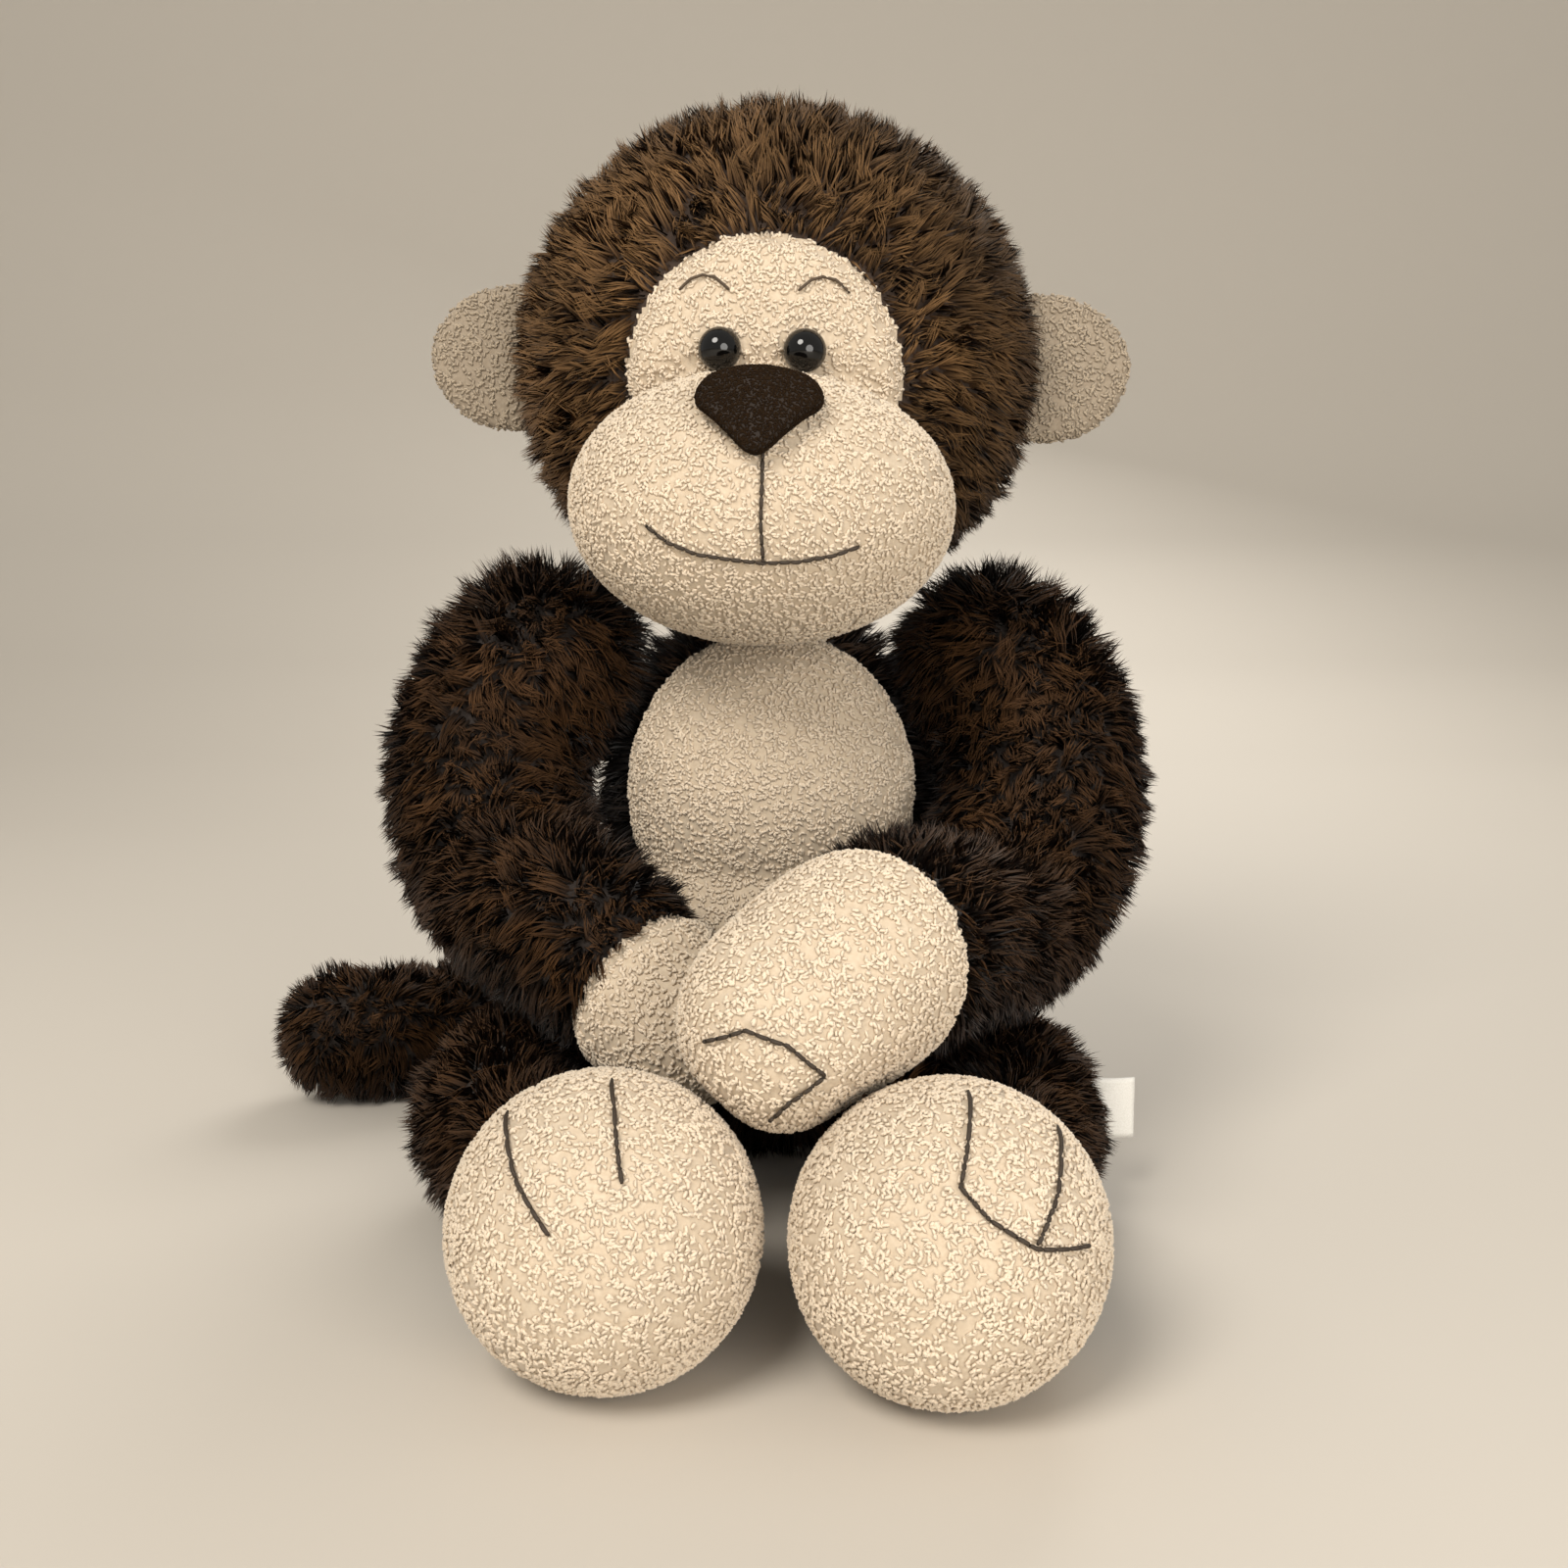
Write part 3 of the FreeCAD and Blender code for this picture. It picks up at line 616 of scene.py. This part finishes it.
def limb_comb(start_node, end_node):
    """Pile that runs from the body towards the hand or foot, and sags a little."""
    start, end = middle_of(start_node)[0], middle_of(end_node)[0]
    way = (end - start).normalized()
    return lambda points: np.tile(np.array([way.x * 0.5, way.y * 0.5, way.z * 0.5 - 0.3]), (len(points), 1))


def plain_tone(points):
    return np.zeros(len(points))


def untrimmed(points):
    return np.ones(len(points))


def in_front_of_neck(points):
    """0 behind the neck, 1 in front of it."""
    centre = middle_of("neck_gusset")[0]
    return np.clip((centre.y + 6 * MM - points[:, 1]) / (18 * MM), 0, 1)


def collar_trim(points):
    """The torso's pile is short at the front of the neck, where the chin rests on it."""
    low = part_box("neck_gusset")[0]
    rise = np.clip((points[:, 2] - (low.z - 34 * MM)) / (26 * MM), 0, 1)
    return 1.0 - 0.62 * rise * rise * (3 - 2 * rise) * in_front_of_neck(points)


def throat_trim(points):
    """The head's pile is short at the throat, where it rests on the chest."""
    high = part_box("neck_gusset")[1]
    drop = np.clip((high.z + 18 * MM - points[:, 2]) / (14 * MM), 0, 1)
    return 1.0 - 0.6 * drop * in_front_of_neck(points)


def shoulder_trim(node):
    """The pile is long on the shoulder, where it closes the gap to the chest."""
    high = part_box(node)[1]
    return lambda points: 1.0 + 0.45 * np.clip((points[:, 2] - (high.z - 42 * MM)) / (24 * MM), 0, 1)


def pale_tone(points):
    return np.full(len(points), 0.18)


def head_painted_light_tone(points):
    """The pile is paler towards the monkey's right, a painted highlight on that lit side, and darker at the
    crown, painted shade.
    """
    centre, size = middle_of("head_fur")
    crown = np.clip((points[:, 2] - centre.z) / (size.z / 2), 0, 1)
    return -0.30 * (points[:, 0] - centre.x) / (size.x / 2) - 0.22 * crown


FUR_LOOK = {
    "per_cm2": 135, "lock": 20, "length": 9.5 * MM, "width": 0.66 * MM,
    "stand": 0.85, "lean": 0.75, "gather": 0.62, "stray": 0.42,
    "material": DARK_PILE, "comb": down, "tone": plain_tone, "trim": untrimmed,
}
FUR_LOOKS = {
    "torso_fur": {"per_cm2": 120, "length": 15.0 * MM, "stand": 1.4, "trim": collar_trim},
    "head_fur": {
        "length": 10.0 * MM, "stand": 1.0, "gather": 0.7, "stray": 0.5,
        "material": HEAD_PILE, "comb": head_comb, "tone": head_painted_light_tone, "trim": throat_trim,
    },
    "tail_fur": {"length": 8.5 * MM},
}
for _side in ("left", "right"):
    FUR_LOOKS[f"arm_fur_{_side}"] = {
        "comb": limb_comb(f"arm_fur_{_side}", f"hand_{_side}"),
        "trim": shoulder_trim(f"arm_fur_{_side}"),
    }
    FUR_LOOKS[f"leg_fur_{_side}"] = {
        "comb": limb_comb(f"leg_fur_{_side}", f"foot_{_side}"),
        "tone": pale_tone,
    }
NODE_BODY = {node: body for body, nodes in frame["record"]["behaviour"]["bodies"].items() for node in nodes}
NODE_SLOT = {part["node"]: part["material_slot"] for part in frame["record"]["subparts"]}


def finish_piece(obj, node, replaced=()):
    """Puts a piece on its node's body and hides the CAD parts that it replaces."""
    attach(obj, NODE_BODY[node])
    if replaced:
        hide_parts(*replaced)
    return obj


def build_panels(skins):
    """The sewn panels, each with its cloth and what grows on it."""
    cloths = {}
    for number, (node, skin) in enumerate(skins.items()):
        furry = NODE_SLOT[node] in ("dark_fur", "head_fur")
        cloth = new_object(f"{node}_cloth", skin[0], skin[1])
        backing = {"dark_fur": DARK_CLOTH, "head_fur": HEAD_CLOTH}.get(NODE_SLOT[node], CREAM_CLOTH)
        cloth.data.materials.append(backing)
        finish_piece(cloth, node, [node, *ALSO_REPLACED.get(node, [])])
        if furry:
            pile = fur(f"{node}_pile", skin, {**FUR_LOOK, **FUR_LOOKS[node]}, 100 + number)
        else:
            pile = boucle(f"{node}_curls", skin, 200 + number)
        finish_piece(pile, node)
        cloths[node] = cloth
    return cloths


def build_ears():
    for side in ("left", "right"):
        node = f"ear_{side}"
        ear = remeshed(welded_copy(node, f"{node}_cloth"), 1.6 * MM, 8)
        points, faces = arrays(ear.data)
        centre, size = middle_of(node)
        outward = (points[:, 0] - centre.x) / (size.x / 2)
        up = (points[:, 2] - centre.z) / (size.z / 2)
        cup = np.clip(outward ** 2 * 0.5 + up ** 2 * 0.5, 0, 1.2)
        points[:, 1] -= (cup - 0.4) * 5.0 * MM
        normals = vertex_normals(points, faces)
        ear.data.vertices.foreach_set("co", points.ravel())
        ear.data.polygons.foreach_set("use_smooth", [True] * len(ear.data.polygons))
        ear.data.update()
        # The ears get the darker cream cloth and curls, painted shade.
        ear.data.materials.append(EAR_PAINTED_SHADE_CLOTH)
        finish_piece(ear, node, [node])
        skin = (points, faces, normals, np.full(len(points), 1.0))
        curls = boucle(f"{node}_curls", skin, 300 + len(side), material=EAR_PAINTED_SHADE_PILE)
        finish_piece(curls, node)


def build_eyes():
    for side in ("left", "right"):
        node = f"eye_{side}"
        low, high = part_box(node)
        radius = (high.x - low.x) / 2
        centre = ((low.x + high.x) / 2, low.y + radius, (low.z + high.z) / 2)
        bpy.ops.mesh.primitive_uv_sphere_add(
            segments=64, ring_count=40, radius=radius, location=centre)
        eye = bpy.context.object
        eye.name = f"{node}_bead"
        for face in eye.data.polygons:
            face.use_smooth = True
        eye.data.materials.append(EYE_BLACK)
        finish_piece(eye, node, [node, f"eye_washer_{side}"])


NOSE_STRETCH = 1.14      # the fleece pad stands a little taller than the hard core under it
NOSE_RISE = 2.4 * MM


def build_nose():
    nose = remeshed(welded_copy("nose", "nose_pad"), 0.9 * MM, 14)
    points, faces = arrays(nose.data)
    normals = vertex_normals(points, faces)
    low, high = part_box("nose")
    points = points + normals * 0.9 * MM
    points[:, 2] = high.z + NOSE_RISE + (points[:, 2] - high.z) * NOSE_STRETCH
    across_share = (points[:, 0] - (low.x + high.x) / 2) / ((high.x - low.x) / 2)
    height_share = np.clip((points[:, 2] - low.z) / (high.z - low.z), 0, 1.2)
    points[:, 2] -= 3.2 * MM * across_share ** 2 * height_share
    points[:, 0] += 1.2 * MM
    nose.data.vertices.foreach_set("co", points.ravel())
    nose.data.polygons.foreach_set("use_smooth", [True] * len(nose.data.polygons))
    nose.data.update()
    nose.data.materials.append(NOSE_CLOTH)
    finish_piece(nose, "nose", ["nose"])
    skin = (points, faces, normals, np.full(len(points), 1.0))
    nap = boucle("nose_nap", skin, 400, per_cm2=420, size=0.42, material=NOSE_PILE, lift=0.2)
    finish_piece(nap, "nose")


def tube(name, lines, radius, material):
    """Round threads along lines of points, as one mesh."""
    points, faces = [], []
    sides = 8
    for line in lines:
        line = [Vector(p) for p in line]
        base = len(points)
        for number, place in enumerate(line):
            way = (line[min(number + 1, len(line) - 1)] - line[max(number - 1, 0)]).normalized()
            one = way.orthogonal().normalized()
            two = way.cross(one)
            thin = radius * (0.55 if number in (0, len(line) - 1) else 1.0)
            for side in range(sides):
                angle = 2 * math.pi * side / sides
                points.append(place + (one * math.cos(angle) + two * math.sin(angle)) * thin)
            if number:
                for side in range(sides):
                    a, b = base + (number - 1) * sides, base + number * sides
                    faces.append((a + side, a + (side + 1) % sides, b + (side + 1) % sides, b + side))
        faces.append(tuple(base + side for side in reversed(range(sides))))
        faces.append(tuple(base + (len(line) - 1) * sides + side for side in range(sides)))
    obj = new_object(name, points, faces)
    obj.data.materials.append(material)
    return obj


def surface_tree(*objects):
    points, faces = [], []
    for obj in objects:
        some, corners = arrays(obj.data)
        base = len(points)
        points += [tuple(p) for p in some]
        faces += [tuple(base + c for c in face) for face in corners]
    return BVHTree.FromPolygons(points, faces)


def stitched(name, node, paths, surfaces, radius=0.52 * MM, stitch=3.4 * MM, raise_by=1.3 * MM,
             thread=THREAD):
    """Thread in running stitches: each path is a list of (x, z) seen from the front, laid on the cloth."""
    tree = surface_tree(*surfaces)
    lines = []
    for path in paths:
        laid = []
        for (x1, z1), (x2, z2) in zip(path, path[1:]):
            steps = max(int(math.hypot(x2 - x1, z2 - z1) / (0.5 * MM)), 2)
            laid += [(x1 + (x2 - x1) * k / steps, z1 + (z2 - z1) * k / steps) for k in range(steps)]
        laid.append(path[-1])
        places = []
        for x, z in laid:
            hit, normal, _, _ = tree.ray_cast(Vector((x, -0.4, z)), Vector((0, 1, 0)))
            if hit is not None:
                places.append((hit, normal))
        per = max(int(stitch / (0.5 * MM)), 3)
        for first in range(0, len(places) - 2, per):
            some = places[first:first + per + 1]
            last = max(len(some) - 1, 1)
            arches = [math.sin(math.pi * (k + 0.5) / (last + 1)) ** 0.5 for k in range(len(some))]
            lines.append([
                hit + normal * (raise_by * (0.35 + 0.65 * arch))
                for arch, (hit, normal) in zip(arches, some)
            ])
    return finish_piece(tube(name, [line for line in lines if len(line) > 1], radius, thread), node, [node])


def across(node, *shares):
    """(x, z) points given as shares of a node's box."""
    low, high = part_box(node)
    return [(low.x + (high.x - low.x) * u, low.z + (high.z - low.z) * v) for u, v in shares]


def build_threads(cloths):
    face = [cloths["muzzle_panel"], cloths["forehead_panel"]]
    mouth = [
        across("mouth_stitches", (0.02, 0.36), (0.12, 0.20), (0.26, 0.08), (0.42, 0.03),
               (0.56, 0.0), (0.72, 0.01), (0.88, 0.07), (1.0, 0.16)),
        across("mouth_stitches", (0.56, 1.08), (0.555, 0.7), (0.55, 0.35), (0.56, 0.0)),
    ]
    stitched("mouth_thread", "mouth_stitches", mouth, face)
    for side in ("left", "right"):
        node = f"brow_stitches_{side}"
        brow = across(node, (0.0, 0.1), (0.25, 0.75), (0.48, 1.0), (0.72, 0.8), (1.0, 0.0))
        stitched(f"brow_thread_{side}", node, [brow], face, radius=0.42 * MM, stitch=8 * MM,
                 thread=BROW_THREAD)
    toes = "toe_stitches_right"
    stitched("toe_thread_right", toes, [
        across(toes, (0.03, 1.12), (0.10, 0.90), (0.26, 0.62), (0.52, 0.32)),
        across(toes, (0.70, 1.42), (0.92, 1.05), (1.02, 0.62)),
    ], [cloths["foot_right"]])
    toes = "toe_stitches_left"
    stitched("toe_thread_left", toes, [
        across(toes, (0.20, 1.42), (0.14, 1.12), (0.0, 0.76), (0.20, 0.60), (0.55, 0.42), (1.0, 0.34)),
        across(toes, (0.88, 0.96), (0.74, 0.66), (0.56, 0.44)),
    ], [cloths["foot_left"]])
    fingers = "hand_stitches_left"
    stitched("hand_thread_left", fingers, [
        across(fingers, (-0.15, 0.80), (0.25, 1.0), (0.62, 0.86), (0.95, 0.52)),
        across(fingers, (0.95, 0.52), (0.62, 0.20), (0.45, -0.05)),
    ], [cloths["hand_left"]])


def build_label():
    low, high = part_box("sewn_label")
    wide, tall = 10, 12     # faces across and up
    points = []
    for j in range(tall + 1):
        for i in range(wide + 1):
            u, v = i / wide, j / tall
            bulge = 1.2 * MM * math.sin(math.pi * u) * (0.6 + 0.4 * v)
            x, z = low.x + (high.x - low.x) * u, low.z + (high.z - low.z) * v
            points.append((x, (low.y + high.y) / 2 - bulge, z))
    row = wide + 1
    corners = [j * row + i for j in range(tall) for i in range(wide)]
    faces = [(k, k + 1, k + row + 1, k + row) for k in corners]
    label = new_object("sewn_label_tape", points, faces)
    label.data.materials.append(LABEL_CLOTH)
    thick = label.modifiers.new("folded", "SOLIDIFY")
    thick.thickness = high.y - low.y
    thick.offset = 0.0
    bake_modifiers(label)
    finish_piece(label, "sewn_label", ["sewn_label"])


def dress_gusset():
    gusset = frame["nodes"]["neck_gusset"]
    gusset.data.materials.clear()
    gusset.data.materials.append(KNIT_CLOTH)


# ---- stage

def plain_material(name, colour, rough):
    mat, _, shader = new_material(name)
    shader.inputs["Base Color"].default_value = (*colour, 1)
    shader.inputs["Roughness"].default_value = rough
    return mat


def area_light(name, place, target, size, power, colour):
    light = bpy.data.lights.new(name, "AREA")
    light.shape = "DISK"
    light.size = size
    light.energy = power
    light.color = colour
    obj = bpy.data.objects.new(name, light)
    obj.location = place
    obj.rotation_euler = (Vector(target) - Vector(place)).to_track_quat("-Z", "Y").to_euler()
    bpy.context.scene.collection.objects.link(obj)


def build_stage():
    """A pale floor that curves up behind the toy, and soft light."""
    profile = [(-2.5, 0), (0.7, 0), (0.95, 0.02), (1.2, 0.09),
               (1.4, 0.22), (1.5, 0.40), (1.53, 0.7), (1.53, 3.0)]
    points = [(x, y, z) for y, z in profile for x in (-3.0, 3.0)]
    faces = [(2 * k, 2 * k + 1, 2 * k + 3, 2 * k + 2) for k in range(len(profile) - 1)]
    floor = new_object("floor", points, faces)
    floor.data.materials.append(plain_material("floor_pale", (0.56, 0.515, 0.45), 0.75))
    area_light("key", (-0.55, -1.1, 1.15), (0, -0.05, 0.15), 0.7, 19, (1.0, 0.95, 0.88))
    area_light("fill", (0.55, -1.25, 0.30), (0, -0.05, 0.12), 0.9, 12, (1.0, 0.96, 0.91))
    area_light("rim", (0.3, 1.1, 0.9), (0, 0, 0.2), 0.9, 9, (1.0, 0.98, 0.95))
    world = bpy.data.worlds.new("studio")
    world.use_nodes = True
    world.node_tree.nodes["Background"].inputs[0].default_value = (0.80, 0.78, 0.74, 1)
    world.node_tree.nodes["Background"].inputs[1].default_value = 0.60
    bpy.context.scene.world = world
    bpy.context.scene.view_settings.view_transform = "Standard"


def build_camera():
    data = bpy.data.cameras.new("camera")
    data.lens = 40.0
    data.sensor_width = 36.0
    camera = bpy.data.objects.new("camera", data)
    camera.location = (0.004, -0.570, 0.185)
    camera.rotation_euler = (math.radians(83.0), 0, 0)
    bpy.context.scene.collection.objects.link(camera)
    bpy.context.scene.camera = camera


CLOTHS = build_panels(make_skins())
build_ears()
build_eyes()
build_nose()
build_threads(CLOTHS)
build_label()
dress_gusset()
build_stage()
build_camera()
